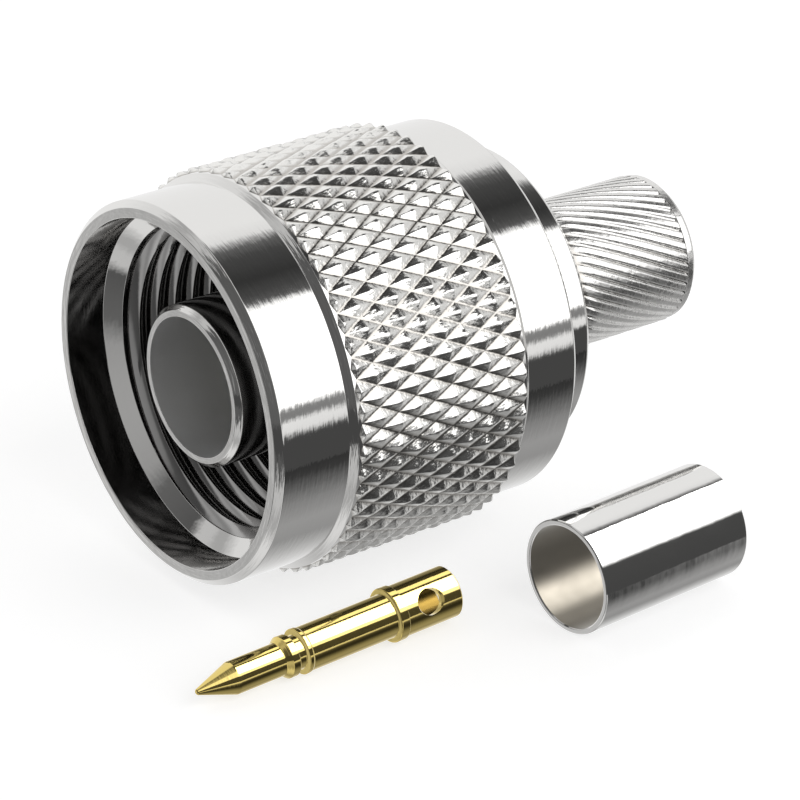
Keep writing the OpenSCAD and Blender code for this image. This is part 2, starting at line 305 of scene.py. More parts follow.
# Satin nickel in the sleeve: an even soft grey, no clear image
sleevePlate = plated("nickelPlateInTheSleeve", "#E2E2E2", (0.50, 0.56), boredMarks)


def plain(name, base, settings):  # one colour with a fine grain; grain and relief in mm
    material = newMaterial(name)
    tree = material.node_tree
    coordinates = addNode(tree, "ShaderNodeTexCoord")
    grain = addNode(tree, "ShaderNodeTexNoise", {}, {
        "Vector": coordinates.outputs["Object"], "Scale": 1 / (settings["grain"] * mm), "Detail": 4.0})
    tint = addNode(tree, "ShaderNodeMix", {"data_type": "RGBA"}, {
        0: grain, 6: linearColour(base), 7: linearColour(settings["deeper"])})
    relief = addNode(tree, "ShaderNodeBump", {}, {
        "Height": grain, "Strength": 1.0, "Distance": settings["relief"] * mm})
    shader = addNode(tree, "ShaderNodeBsdfPrincipled", {}, {
        "Base Color": tint.outputs[2], "Roughness": settings["rough"], "IOR": settings["ior"],
        "Metallic": settings["metallic"], "Normal": relief})
    addNode(tree, "ShaderNodeOutputMaterial", {}, {"Surface": shader})
    return material


# Turned PTFE: waxy white with a faint mottle
ptfe = plain("turnedPtfe", "#EFEEE8", {
    "grain": 0.6, "deeper": "#E2E1D8", "relief": 0.004, "rough": 0.42, "ior": 1.35, "metallic": 0.0})

# Moulded nitrile rubber: dull black with a fine skin
nitrile = plain("mouldedNitrileRubber", "#1E1E1D", {
    "grain": 0.3, "deeper": "#2B2A29", "relief": 0.01, "rough": 0.55, "ior": 1.52, "metallic": 0.0})

# Phosphor bronze spring wire: warm and half bright
bronze = plain("phosphorBronzeSpring", "#B98D5E", {
    "grain": 0.4, "deeper": "#A67A4C", "relief": 0.002, "rough": 0.3, "ior": 1.5, "metallic": 1.0})
print("finishes made")


# Repeated shapes

def newTree(name, inputs):
    tree = bpy.data.node_groups.new(name, "GeometryNodeTree")
    kinds = {"Geometry": "NodeSocketGeometry", "Material": "NodeSocketMaterial", "Object": "NodeSocketObject"}
    for label, value in inputs.items():
        if label in kinds:
            kind = kinds[label]
        else:
            kind = "NodeSocketInt" if isinstance(value, int) else "NodeSocketFloat"
        socket = tree.interface.new_socket(label, in_out="INPUT", socket_type=kind)
        if value is not None:
            socket.default_value = value
    tree.interface.new_socket("Geometry", in_out="OUTPUT", socket_type="NodeSocketGeometry")
    return tree, addNode(tree, "NodeGroupInput").outputs


def grown(name, tree, values, weighted=False):
    # a piece made by a tree, with the tree's named inputs set from a dictionary
    thing = newObject(name, bpy.data.meshes.new(name))
    growth = thing.modifiers.new("growth", "NODES")
    growth.node_group = tree
    for item in tree.interface.items_tree:
        if item.item_type == "SOCKET" and item.in_out == "INPUT" and item.name in values:
            growth[item.identifier] = values[item.name]
    if weighted:
        thing.modifiers.new("evenFlats", "WEIGHTED_NORMAL").mode = "FACE_AREA"
    return frozen(thing)


# A flat sheet, x along and y in radians, wrapped about X; z is the height over the root, all lengths in mm
wrap, wrapIn = newTree("wrapAboutX", {"Geometry": None, "Root radius": 1.0})
flatPlace = addNode(wrap, "ShaderNodeSeparateXYZ", {}, {0: addNode(wrap, "GeometryNodeInputPosition")})
lift = addNode(wrap, "ShaderNodeMath", {"operation": "ADD"}, {
    0: flatPlace.outputs["Z"], 1: wrapIn["Root radius"]})
sine = addNode(wrap, "ShaderNodeMath", {"operation": "SINE"}, {0: flatPlace.outputs["Y"]})
cosine = addNode(wrap, "ShaderNodeMath", {"operation": "COSINE"}, {0: flatPlace.outputs["Y"]})
sideways = addNode(wrap, "ShaderNodeMath", {"operation": "MULTIPLY"}, {0: lift, 1: sine})
upwards = addNode(wrap, "ShaderNodeMath", {"operation": "MULTIPLY"}, {0: lift, 1: cosine})
wrapped = addNode(wrap, "ShaderNodeCombineXYZ", {}, {0: flatPlace.outputs["X"], 1: sideways, 2: upwards})
moved = addNode(wrap, "GeometryNodeSetPosition", {}, {0: wrapIn["Geometry"], "Position": wrapped})
sealed = addNode(wrap, "GeometryNodeMergeByDistance", {}, {0: moved, "Distance": 0.004})
inMetres = addNode(wrap, "GeometryNodeTransform", {}, {0: sealed, "Scale": (mm, mm, mm)})
addNode(wrap, "NodeGroupOutput", {}, {0: inMetres})


# Coupling nut

nut = {
    "front": -1.5, "rear": 16.35, "entryRadius": 8.8, "bandRadius": 9.64, "rimChamfer": 0.34,
    "knurlStart": 2.9, "knurlEnd": 12.9, "knurlBed": 9.97, "rearChamfer": 0.25, "boreChamfer": 0.3,
    "entryEnd": 0.65, "leadSlope": 0.7, "threadRoot": 7.95, "threadEnd": 7.56, "rootPast": 0.45,
    "reliefPast": 0.6, "relief": 8.1, "reliefRear": 9.1, "reliefCone": 0.6, "hubBore": 7.05,
    "grooveFront": 11.85, "grooveRear": 12.95, "grooveRadius": 7.6,
    "shadedFrom": -1.4, "shadedTo": 16.0, "shadedWithin": 8.85,
}
leadIn = (nut["entryRadius"] - nut["threadRoot"]) * nut["leadSlope"]
shoulder = nut["knurlBed"] - nut["bandRadius"] + 0.02  # a little longer than it is high
nutBody = turned("nutBody", [
    (nut["front"], nut["entryRadius"], 0.04),
    (nut["front"], nut["bandRadius"] - nut["rimChamfer"], 0.06),
    (nut["front"] + nut["rimChamfer"], nut["bandRadius"], 0.1),
    (nut["knurlStart"] - shoulder, nut["bandRadius"], 0.05),
    (nut["knurlStart"], nut["knurlBed"], 0.02),
    (nut["knurlEnd"], nut["knurlBed"], 0.02),
    (nut["knurlEnd"] + shoulder, nut["bandRadius"], 0.05),
    (nut["rear"] - nut["rearChamfer"], nut["bandRadius"], 0.1),
    (nut["rear"], nut["bandRadius"] - nut["rearChamfer"], 0.06),
    (nut["rear"], nut["hubBore"] + nut["boreChamfer"]),
    (nut["rear"] - nut["boreChamfer"], nut["hubBore"]),
    (nut["grooveRear"], nut["hubBore"]),
    (nut["grooveRear"], nut["grooveRadius"]),
    (nut["grooveFront"], nut["grooveRadius"]),
    (nut["grooveFront"], nut["hubBore"]),
    (nut["reliefRear"] + nut["reliefCone"], nut["hubBore"]),
    (nut["reliefRear"], nut["relief"]),
    (nut["threadEnd"] + nut["reliefPast"], nut["relief"]),
    (nut["threadEnd"] + nut["rootPast"], nut["threadRoot"]),
    (nut["entryEnd"] + leadIn, nut["threadRoot"]),
    (nut["entryEnd"], nut["entryRadius"], 0.04),
], [nickelPlate, innerPlate], segments=320)
for polygon in nutBody.data.polygons:  # the bore, but not the mouth's cone, takes the plate painted greyer as shade
    x, y, z = polygon.center / mm
    inTheBore = math.hypot(y, z) < nut["shadedWithin"] and nut["shadedFrom"] < x < nut["shadedTo"]
    onTheCone = nut["entryEnd"] < x < nut["entryEnd"] + leadIn
    polygon.material_index = 1 if inTheBore and not onTheCone else 0
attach(nutBody, "nut")
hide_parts("coupling_nut")

knurlSizes = {
    "Diamonds": 58, "Rows": 9, "Start": 3.1, "Length": 9.6, "Root radius": 9.99, "Height": 0.26,
    "Lowest": 0.86, "Wander": 0.09, "Run-out": 0.2, "Seed": 7,
}
wander = {"perUnit": (0.9, 9.0, 9.0), "lean": (4.0, 0.4, 0.0)}  # lean: mm along, radians round
# One diamond: rings of (inset across the cell, cut corner, height), from the valley to the point
diamondRings = [
    (0.03, 0.012, 0.02), (0.075, 0.02, 0.09), (0.36, 0.05, 0.88), (0.42, 0.03, 0.97), (0.46, 0.015, 1.0),
]


def knurlDiamond():
    def cell(p, q, height):  # across the two directions of the valleys
        return (p - q, p + q - 1, height)

    verts = [cell(0, 0, 0), cell(1, 0, 0), cell(1, 1, 0), cell(0, 1, 0)]
    faces = []
    for inset, cut, height in diamondRings:
        low, high = inset, 1 - inset
        verts += [cell(p, q, height) for p, q in (
            (low, low + cut), (low + cut, low), (high - cut, low), (high, low + cut),
            (high, high - cut), (high - cut, high), (low + cut, high), (low, high - cut))]
    for corner in range(4):
        a, b = 4 + 2 * corner, 5 + 2 * corner
        c = 4 + (2 * corner + 2) % 8
        faces += [(corner, b, a), (corner, (corner + 1) % 4, c, b)]
    for ring in range(len(diamondRings) - 1):
        for k in range(8):
            a, b = 4 + 8 * ring + k, 4 + 8 * ring + (k + 1) % 8
            faces.append((a, b, b + 8, a + 8))
    faces.append(tuple(range(len(verts) - 8, len(verts))))
    mesh = bpy.data.meshes.new("knurlDiamond")
    mesh.from_pydata(verts, [], faces)
    shape = bmesh.new()
    shape.from_mesh(mesh)
    bmesh.ops.recalc_face_normals(shape, faces=shape.faces)
    if shape.faces[len(shape.faces) - 1].normal.z < 0:
        bmesh.ops.reverse_faces(shape, faces=shape.faces)
    shape.to_mesh(mesh)
    shape.free()
    return newObject("knurlDiamond", mesh)


knurl, knurlIn = newTree("diamondKnurl", {**knurlSizes, "Object": None, "Material": None})
stations = addNode(knurl, "ShaderNodeMath", {"operation": "ADD"}, {0: knurlIn["Rows"], 1: 1.0})
placeCount = addNode(knurl, "ShaderNodeMath", {"operation": "MULTIPLY"}, {
    0: stations, 1: knurlIn["Diamonds"]})
places = addNode(knurl, "GeometryNodePoints", {}, {"Count": placeCount})
place = addNode(knurl, "GeometryNodeInputIndex")
rounds = addNode(knurl, "ShaderNodeMath", {"operation": "DIVIDE"}, {0: place, 1: knurlIn["Diamonds"]})
row = addNode(knurl, "ShaderNodeMath", {"operation": "FLOOR"}, {0: rounds})
column = addNode(knurl, "ShaderNodeMath", {"operation": "MODULO"}, {0: place, 1: knurlIn["Diamonds"]})
oddRow = addNode(knurl, "ShaderNodeMath", {"operation": "MODULO"}, {0: row, 1: 2.0})
staggered = addNode(knurl, "ShaderNodeMath", {"operation": "MULTIPLY_ADD"}, {0: oddRow, 1: 0.5, 2: column})
turnStep = addNode(knurl, "ShaderNodeMath", {"operation": "DIVIDE"}, {0: 2 * math.pi, 1: knurlIn["Diamonds"]})
rowPitch = addNode(knurl, "ShaderNodeMath", {"operation": "DIVIDE"}, {
    0: knurlIn["Length"], 1: knurlIn["Rows"]})
flatX = addNode(knurl, "ShaderNodeMath", {"operation": "MULTIPLY_ADD"}, {
    0: row, 1: rowPitch, 2: knurlIn["Start"]})
flatY = addNode(knurl, "ShaderNodeMath", {"operation": "MULTIPLY"}, {0: staggered, 1: turnStep})
flatSpot = addNode(knurl, "ShaderNodeCombineXYZ", {}, {0: flatX, 1: flatY})
laid = addNode(knurl, "GeometryNodeSetPosition", {}, {0: places, "Position": flatSpot})
diamond = addNode(knurl, "GeometryNodeObjectInfo", {}, {0: knurlIn["Object"]})
unevenShare = addNode(knurl, "FunctionNodeRandomValue", {"data_type": "FLOAT"}, {
    2: knurlIn["Lowest"], 3: 1.0, "Seed": knurlIn["Seed"]})
halfStep = addNode(knurl, "ShaderNodeMath", {"operation": "MULTIPLY"}, {0: turnStep, 1: 0.5})
unevenHeight = addNode(knurl, "ShaderNodeMath", {"operation": "MULTIPLY"}, {
    0: knurlIn["Height"], 1: unevenShare.outputs[1]})
diamondSize = addNode(knurl, "ShaderNodeCombineXYZ", {}, {0: rowPitch, 1: halfStep, 2: unevenHeight})
rows = addNode(knurl, "GeometryNodeInstanceOnPoints", {}, {
    0: laid, "Instance": diamond.outputs["Geometry"], "Scale": diamondSize})
sheet = addNode(knurl, "GeometryNodeRealizeInstances", {}, {0: rows})
spot = addNode(knurl, "ShaderNodeSeparateXYZ", {}, {0: addNode(knurl, "GeometryNodeInputPosition")})
heightShare = addNode(knurl, "ShaderNodeMath", {"operation": "DIVIDE"}, {
    0: spot.outputs["Z"], 1: knurlIn["Height"]})

# the rolls' wander: points lean a little, valleys stay put
spotSine = addNode(knurl, "ShaderNodeMath", {"operation": "SINE"}, {0: spot.outputs["Y"]})
spotCosine = addNode(knurl, "ShaderNodeMath", {"operation": "COSINE"}, {0: spot.outputs["Y"]})
roundSpot = addNode(knurl, "ShaderNodeCombineXYZ", {}, {0: spot.outputs["X"], 1: spotSine, 2: spotCosine})
wanderPlace = addNode(knurl, "ShaderNodeVectorMath", {"operation": "MULTIPLY"}, {
    0: roundSpot, 1: wander["perUnit"]})
wanderNoise = addNode(knurl, "ShaderNodeTexNoise", {}, {"Vector": wanderPlace, "Scale": 1.0, "Detail": 1.0})
centred = addNode(knurl, "ShaderNodeVectorMath", {"operation": "SUBTRACT"}, {
    0: wanderNoise.outputs["Color"], 1: (0.5, 0.5, 0.5)})
pull = addNode(knurl, "ShaderNodeMath", {"operation": "MULTIPLY"}, {0: heightShare, 1: knurlIn["Wander"]})
lean = addNode(knurl, "ShaderNodeVectorMath", {"operation": "SCALE"}, {0: centred, "Scale": pull})
leanFlat = addNode(knurl, "ShaderNodeVectorMath", {"operation": "MULTIPLY"}, {0: lean, 1: wander["lean"]})
leant = addNode(knurl, "GeometryNodeSetPosition", {}, {0: sheet, "Offset": leanFlat})

# both ends run out on a steep shoulder
endSlope = addNode(knurl, "ShaderNodeMath", {"operation": "MULTIPLY"}, {
    0: heightShare, 1: knurlIn["Run-out"]})
slack = addNode(knurl, "ShaderNodeMath", {"operation": "SUBTRACT"}, {0: knurlIn["Run-out"], 1: endSlope})
lastRow = addNode(knurl, "ShaderNodeMath", {"operation": "ADD"}, {0: knurlIn["Start"], 1: knurlIn["Length"]})
frontStop = addNode(knurl, "ShaderNodeMath", {"operation": "SUBTRACT"}, {0: knurlIn["Start"], 1: slack})
rearStop = addNode(knurl, "ShaderNodeMath", {"operation": "ADD"}, {0: lastRow, 1: slack})
heldX = addNode(knurl, "ShaderNodeClamp", {}, {"Value": spot.outputs["X"], "Min": frontStop, "Max": rearStop})
heldSpot = addNode(knurl, "ShaderNodeCombineXYZ", {}, {0: heldX, 1: spot.outputs["Y"], 2: spot.outputs["Z"]})
cutEnds = addNode(knurl, "GeometryNodeSetPosition", {}, {0: leant, "Position": heldSpot})
roundTheNut = addNode(knurl, "GeometryNodeGroup", {"node_tree": wrap}, {
    0: cutEnds, 1: knurlIn["Root radius"]})
finish = addNode(knurl, "GeometryNodeSetMaterial", {}, {0: roundTheNut, "Material": knurlIn["Material"]})
addNode(knurl, "NodeGroupOutput", {}, {0: finish})

diamondShape = knurlDiamond()
nutKnurl = grown("nutKnurl", knurl, {
    **knurlSizes, "Object": diamondShape, "Material": knurlPlate}, weighted=True)
bpy.data.objects.remove(diamondShape)
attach(nutKnurl, "nut")
nutKnurl.visible_glossy = False  # other pieces mirror the plain nut beneath, as in a wide soft light
print("nut turned and knurled:", len(nutKnurl.data.polygons), "faces in the knurl")

# The thread: 24 turns to the inch, cut back by the lead-in cone and by the relief

threadSizes = {
    "Pitch": 1.058, "Root radius": 7.96, "Crest radius": 7.5, "From": 0.7, "Turns": 6.9, "Crest flat": 0.13,
    "Base share": 0.94, "Rounding": 0.03, "Steps a turn": 96, "Run-out": nut["threadEnd"],
    "Entry radius": nut["entryRadius"], "Entry end": nut["entryEnd"], "Lead slope": nut["leadSlope"],
    "Clearance": 0.03,
}
thread, threadIn = newTree("insideThread", {**threadSizes, "Material": None})
rise = addNode(thread, "ShaderNodeMath", {"operation": "MULTIPLY"}, {
    0: threadIn["Pitch"], 1: threadIn["Turns"]})
path = addNode(thread, "GeometryNodeCurveSpiral", {}, {
    "Resolution": threadIn["Steps a turn"], "Rotations": threadIn["Turns"],
    "Start Radius": threadIn["Root radius"],
    "End Radius": threadIn["Root radius"], "Reverse": True, "Height": rise})
upright = addNode(thread, "GeometryNodeSetCurveNormal", {"mode": "Z_UP"}, {0: path})
deep = addNode(thread, "ShaderNodeMath", {"operation": "SUBTRACT"}, {
    0: threadIn["Root radius"], 1: threadIn["Crest radius"]})
baseWidth = addNode(thread, "ShaderNodeMath", {"operation": "MULTIPLY"}, {
    0: threadIn["Pitch"], 1: threadIn["Base share"]})
vee = addNode(thread, "GeometryNodeCurvePrimitiveQuadrilateral", {"mode": "TRAPEZOID"}, {
    "Bottom Width": baseWidth, "Top Width": threadIn["Crest flat"], "Height": deep, "Offset": 0.0})
inwards = addNode(thread, "ShaderNodeMath", {"operation": "MULTIPLY"}, {0: deep, 1: -0.5})
pointedIn = addNode(thread, "GeometryNodeTransform", {}, {
    0: vee, "Translation": addNode(thread, "ShaderNodeCombineXYZ", {}, {0: inwards}),
    "Rotation": (0.0, 0.0, math.pi / 2)})
rounded = addNode(thread, "GeometryNodeFilletCurve", {"mode": "POLY"}, {
    0: pointedIn, "Count": 2, "Radius": threadIn["Rounding"], "Limit Radius": True})
swept = addNode(thread, "GeometryNodeCurveToMesh", {}, {
    0: upright, "Profile Curve": rounded, "Fill Caps": True})
alongX = addNode(thread, "GeometryNodeTransform", {}, {
    0: swept, "Translation": addNode(thread, "ShaderNodeCombineXYZ", {}, {0: threadIn["From"]}),
    "Rotation": (0.0, math.pi / 2, 0.0)})
ridge = addNode(thread, "ShaderNodeSeparateXYZ", {}, {0: addNode(thread, "GeometryNodeInputPosition")})
ridgeX, ridgeY, ridgeZ = ridge.outputs
sectionSpot = addNode(thread, "ShaderNodeCombineXYZ", {}, {1: ridgeY, 2: ridgeZ})
reach = addNode(thread, "ShaderNodeVectorMath", {"operation": "LENGTH"}, {0: sectionSpot}).outputs["Value"]
pastEntry = addNode(thread, "ShaderNodeMath", {"operation": "SUBTRACT"}, {
    0: ridgeX, 1: threadIn["Entry end"]})
leadDrop = addNode(thread, "ShaderNodeMath", {"operation": "DIVIDE"}, {
    0: pastEntry, 1: threadIn["Lead slope"]})
coneLead = addNode(thread, "ShaderNodeMath", {"operation": "SUBTRACT"}, {
    0: threadIn["Entry radius"], 1: leadDrop})
pastEnd = addNode(thread, "ShaderNodeMath", {"operation": "SUBTRACT"}, {0: ridgeX, 1: threadIn["Run-out"]})
coneOut = addNode(thread, "ShaderNodeMath", {"operation": "ADD"}, {0: threadIn["Crest radius"], 1: pastEnd})
bothCones = addNode(thread, "ShaderNodeMath", {"operation": "MAXIMUM"}, {0: coneLead, 1: coneOut})
least = addNode(thread, "ShaderNodeMath", {"operation": "ADD"}, {0: bothCones, 1: threadIn["Clearance"]})
trimTo = addNode(thread, "ShaderNodeMath", {"operation": "MAXIMUM"}, {0: reach, 1: least})
spread = addNode(thread, "ShaderNodeMath", {"operation": "DIVIDE"}, {0: trimTo, 1: reach})
trimY = addNode(thread, "ShaderNodeMath", {"operation": "MULTIPLY"}, {0: ridgeY, 1: spread})
trimZ = addNode(thread, "ShaderNodeMath", {"operation": "MULTIPLY"}, {0: ridgeZ, 1: spread})
trimSpot = addNode(thread, "ShaderNodeCombineXYZ", {}, {0: ridgeX, 1: trimY, 2: trimZ})
trimmed = addNode(thread, "GeometryNodeSetPosition", {}, {0: alongX, "Position": trimSpot})
smoothed = addNode(thread, "GeometryNodeSetShadeSmooth", {}, {0: trimmed, "Shade Smooth": True})
scaled = addNode(thread, "GeometryNodeTransform", {}, {0: smoothed, "Scale": (mm, mm, mm)})
realized = addNode(thread, "GeometryNodeRealizeInstances", {}, {0: scaled})
finish = addNode(thread, "GeometryNodeSetMaterial", {}, {0: realized, "Material": threadIn["Material"]})
addNode(thread, "NodeGroupOutput", {}, {0: finish})
# the thread takes the plate painted greyer as shade
nutThread = grown("nutThread", thread, {**threadSizes, "Material": innerPlate}, weighted=True)
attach(nutThread, "nut")
print("thread cut:", len(nutThread.data.polygons), "faces")


# Front shell: contact sleeve, gasket seat and hub

shell = {
    "sleeve": 4.1, "bore": 3.55, "edge": 0.26, "seatStart": 7.1, "seat": 4.35, "hubStart": 8.5, "hub": 7.0,
    "hubChamfer": 0.3, "rear": 16.35, "spigot": 5.2, "bead": 3.9, "beadSeat": 7.5, "beadEnd": 12.0,
    "grooveFront": 11.85, "grooveRear": 12.95, "groove": 6.4,
}
shellBody = turned("shellBody", [
    (0, shell["bore"], 0.02),
    (0, shell["sleeve"] - shell["edge"], 0.04),
    (shell["edge"], shell["sleeve"], 0.08),
    (shell["seatStart"], shell["sleeve"]),
    (shell["seatStart"], shell["seat"]),
    (shell["hubStart"], shell["seat"]),
    (shell["hubStart"], shell["hub"] - shell["hubChamfer"]),
    (shell["hubStart"] + shell["hubChamfer"], shell["hub"]),
    (shell["grooveFront"], shell["hub"]),
    (shell["grooveFront"], shell["groove"]),
    (shell["grooveRear"], shell["groove"]),
    (shell["grooveRear"], shell["hub"]),
    (shell["rear"], shell["hub"]),
    (shell["rear"], shell["spigot"]),
    (shell["beadEnd"], shell["spigot"]),
    (shell["beadEnd"], shell["bead"]),
    (shell["beadSeat"], shell["bead"]),
    (shell["beadSeat"], shell["bore"]),
], [nickelPlate, sleevePlate, innerPlate])
for polygon in shellBody.data.polygons:
    x, y, z = polygon.center / mm
    if math.hypot(y, z) < shell["bore"] + 0.01:
        polygon.material_index = 1
    # behind the front edge, hidden in the nut, the plate is painted greyer as shade
    elif x > shell["edge"] + 0.1:
        polygon.material_index = 2
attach(shellBody, "plug_body")
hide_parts("front_shell")

gasket = {"front": 7.1, "rear": 8.5, "hole": 4.37, "outside": 7.3, "holeFillet": 0.1, "outsideFillet": 0.2}
gasketRing = turned("gasketRing", [
    (gasket["front"], gasket["hole"], gasket["holeFillet"]),
    (gasket["front"], gasket["outside"], gasket["outsideFillet"]),
    (gasket["rear"], gasket["outside"], gasket["outsideFillet"]),
    (gasket["rear"], gasket["hole"], gasket["holeFillet"]),
], [nitrile], segments=192)
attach(gasketRing, "plug_body")
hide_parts("gasket")

bead = {"front": 7.5, "rear": 12.0, "outside": 3.88, "fillet": 0.1, "hole": 1.12, "chamfer": 0.3}
beadBody = turned("beadBody", [
    (bead["front"], bead["hole"] + bead["chamfer"]),
    (bead["front"], bead["outside"], bead["fillet"]),
    (bead["rear"], bead["outside"], bead["fillet"]),
    (bead["rear"], bead["hole"] + bead["chamfer"]),
    (bead["rear"] - bead["chamfer"], bead["hole"]),
    (bead["front"] + bead["chamfer"], bead["hole"]),
], [ptfe], segments=128)
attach(beadBody, "plug_body")
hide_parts("insulator_bead")
print("shell, gasket and bead turned")


# Crimp stem with its flange

stem = {
    "front": 12.0, "spigot": 5.18, "hubEnd": 16.35, "step": 6.6, "flangeStart": 16.5, "flange": 7.9,
    "flangeEnd": 18.6, "chamfer": 0.3, "neck": 3.6, "ribsStart": 21.3, "ribBed": 3.64, "ribsEnd": 28.05,
    "bedRun": 0.2, "rimRun": 0.12, "rim": 3.84, "end": 28.8, "bore": 2.6,
}
stemBody = turned("stemBody", [
    (stem["front"], stem["bore"]),
    (stem["front"], stem["spigot"] - stem["chamfer"]),
    (stem["front"] + stem["chamfer"], stem["spigot"]),
    (stem["hubEnd"], stem["spigot"]),
    (stem["hubEnd"], stem["step"]),
    (stem["flangeStart"], stem["step"]),
    (stem["flangeStart"], stem["flange"], 0.08),
    (stem["flangeEnd"] - stem["chamfer"], stem["flange"], 0.12),
    (stem["flangeEnd"], stem["flange"] - stem["chamfer"], 0.08),
    (stem["flangeEnd"], stem["neck"], 0.15),
    (stem["ribsStart"], stem["neck"]),
    (stem["ribsStart"] + stem["bedRun"], stem["ribBed"]),
    (stem["ribsEnd"], stem["ribBed"]),
    (stem["ribsEnd"] + stem["rimRun"], stem["rim"], 0.05),
    (stem["end"] - stem["chamfer"], stem["rim"], 0.08),
    (stem["end"], stem["rim"] - stem["chamfer"], 0.05),
    (stem["end"], stem["bore"] + stem["chamfer"]),
    (stem["end"] - stem["chamfer"], stem["bore"]),
], [nickelPlate, ribbedPlate])
for polygon in stemBody.data.polygons:
    polygon.material_index = 1 if polygon.center.x > (stem["flangeEnd"] + 0.02) * mm else 0
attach(stemBody, "plug_body")
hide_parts("crimp_stem")

ribSizes = {
    "Ribs": 42, "Start": stem["ribsStart"], "Length": 6.78, "Root radius": 3.66, "Height": 0.24,
    "Twist": -0.906, "Groove": 0.34, "Tail": 0.12,
}
ribs, ribIn = newTree("slantingRibs", {**ribSizes, "Material": None})
strip = addNode(ribs, "GeometryNodeMeshGrid", {}, {
    "Size X": 1.0, "Size Y": 1.0, "Vertices X": 33, "Vertices Y": 9})
stripSpot = addNode(ribs, "ShaderNodeSeparateXYZ", {}, {0: addNode(ribs, "GeometryNodeInputPosition")})
stripX, stripY = stripSpot.outputs[:2]
ribTurn = addNode(ribs, "ShaderNodeMath", {"operation": "DIVIDE"}, {0: 2 * math.pi, 1: ribIn["Ribs"]})

# the groove is narrow and the rib's back nearly flat, with soft edges
fromMiddle = addNode(ribs, "ShaderNodeMath", {"operation": "ABSOLUTE"}, {0: stripY})
halfGroove = addNode(ribs, "ShaderNodeMath", {"operation": "MULTIPLY"}, {0: ribIn["Groove"], 1: 0.5})
grooveEdge = addNode(ribs, "ShaderNodeMath", {"operation": "SUBTRACT"}, {0: 0.5, 1: halfGroove})
flank = addNode(ribs, "ShaderNodeMapRange", {"interpolation_type": "SMOOTHSTEP"}, {
    "Value": fromMiddle, "From Min": grooveEdge, "From Max": 0.5, "To Min": 1.0, "To Max": 0.0})

# each rib rises slowly from the neck and runs up to the rim
alongShare = addNode(ribs, "ShaderNodeMath", {"operation": "ADD"}, {0: stripX, 1: 0.5})
tail = addNode(ribs, "ShaderNodeMapRange", {"interpolation_type": "SMOOTHSTEP"}, {
    "Value": alongShare, "From Min": 0.0, "From Max": ribIn["Tail"]})
ribShape = addNode(ribs, "ShaderNodeMath", {"operation": "MULTIPLY"}, {0: flank, 1: tail})
ribHeight = addNode(ribs, "ShaderNodeMath", {"operation": "MULTIPLY"}, {0: ribShape, 1: ribIn["Height"]})
ribX = addNode(ribs, "ShaderNodeMath", {"operation": "MULTIPLY_ADD"}, {
    0: alongShare, 1: ribIn["Length"], 2: ribIn["Start"]})
ribY = addNode(ribs, "ShaderNodeMath", {"operation": "MULTIPLY"}, {0: stripY, 1: ribTurn})
ribSpot = addNode(ribs, "ShaderNodeCombineXYZ", {}, {0: ribX, 1: ribY, 2: ribHeight})
oneRib = addNode(ribs, "GeometryNodeSetPosition", {}, {0: strip.outputs["Mesh"], "Position": ribSpot})
index = addNode(ribs, "GeometryNodeInputIndex")
turnTo = addNode(ribs, "ShaderNodeMath", {"operation": "MULTIPLY"}, {0: index, 1: ribTurn})
ribPlaces = addNode(ribs, "GeometryNodePoints", {}, {
    "Count": ribIn["Ribs"], "Position": addNode(ribs, "ShaderNodeCombineXYZ", {}, {1: turnTo})})
manyRibs = addNode(ribs, "GeometryNodeInstanceOnPoints", {}, {0: ribPlaces, "Instance": oneRib})
allRibs = addNode(ribs, "GeometryNodeRealizeInstances", {}, {0: manyRibs})
pastStart = addNode(ribs, "ShaderNodeMath", {"operation": "SUBTRACT"}, {0: stripX, 1: ribIn["Start"]})
along = addNode(ribs, "ShaderNodeMath", {"operation": "DIVIDE"}, {0: pastStart, 1: ribIn["Length"]})
slant = addNode(ribs, "ShaderNodeMath", {"operation": "MULTIPLY"}, {0: along, 1: ribIn["Twist"]})
slanted = addNode(ribs, "GeometryNodeSetPosition", {}, {
    0: allRibs, "Offset": addNode(ribs, "ShaderNodeCombineXYZ", {}, {1: slant})})
roundTheStem = addNode(ribs, "GeometryNodeGroup", {"node_tree": wrap}, {0: slanted, 1: ribIn["Root radius"]})
smoothed = addNode(ribs, "GeometryNodeSetShadeSmooth", {}, {0: roundTheStem})
finish = addNode(ribs, "GeometryNodeSetMaterial", {}, {0: smoothed, "Material": ribIn["Material"]})
addNode(ribs, "NodeGroupOutput", {}, {0: finish})
stemRibs = grown("stemRibs", ribs, {**ribSizes, "Material": ribbedPlate})
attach(stemRibs, "plug_body")
print("stem turned and ribbed:", len(stemRibs.data.polygons), "faces in the ribs")

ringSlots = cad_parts["retaining_ring"].data.materials
ringSlots.clear()
ringSlots.append(bronze)


# Centre pin, lying on its ring and on the lip of its body

floorHeight = -10.25
pin = {
    "tipAt": (-7.35, -11.1), "yaw": 0.1, "tip": 0.1, "point": 0.825, "coneEnd": 2.0, "collarStart": 4.6,
    "flare": 0.3, "collarEnd": 5.3, "collar": 1.05, "neck": 0.85, "neckEnd": 5.75, "lip": 1.15, "body": 1.1,
    "ringStart": 10.95, "ringEnd": 11.45, "ring": 1.38, "barrel": 1.3, "end": 14.7, "bore": 0.95,
    "boreStart": 11.6, "windowAt": 12.86, "window": 0.66, "windowTurn": 62, "windowEdge": 0.16,
    "lipRun": 0.2, "lipFoot": 0.28, "endChamfer": 0.1, "mouthChamfer": 0.15, "drillPoint": 0.4,
}
pinLean = math.atan((pin["ring"] - pin["lip"]) / (pin["ringStart"] - pin["neckEnd"]))
pinHeight = floorHeight + pin["lip"] * math.cos(pinLean) - pin["neckEnd"] * math.sin(pinLean)
pinPlace = (Matrix.Translation((*pin["tipAt"], pinHeight))
            @ Matrix.Rotation(math.radians(pin["yaw"]), 4, "Z") @ Matrix.Rotation(-pinLean, 4, "Y"))

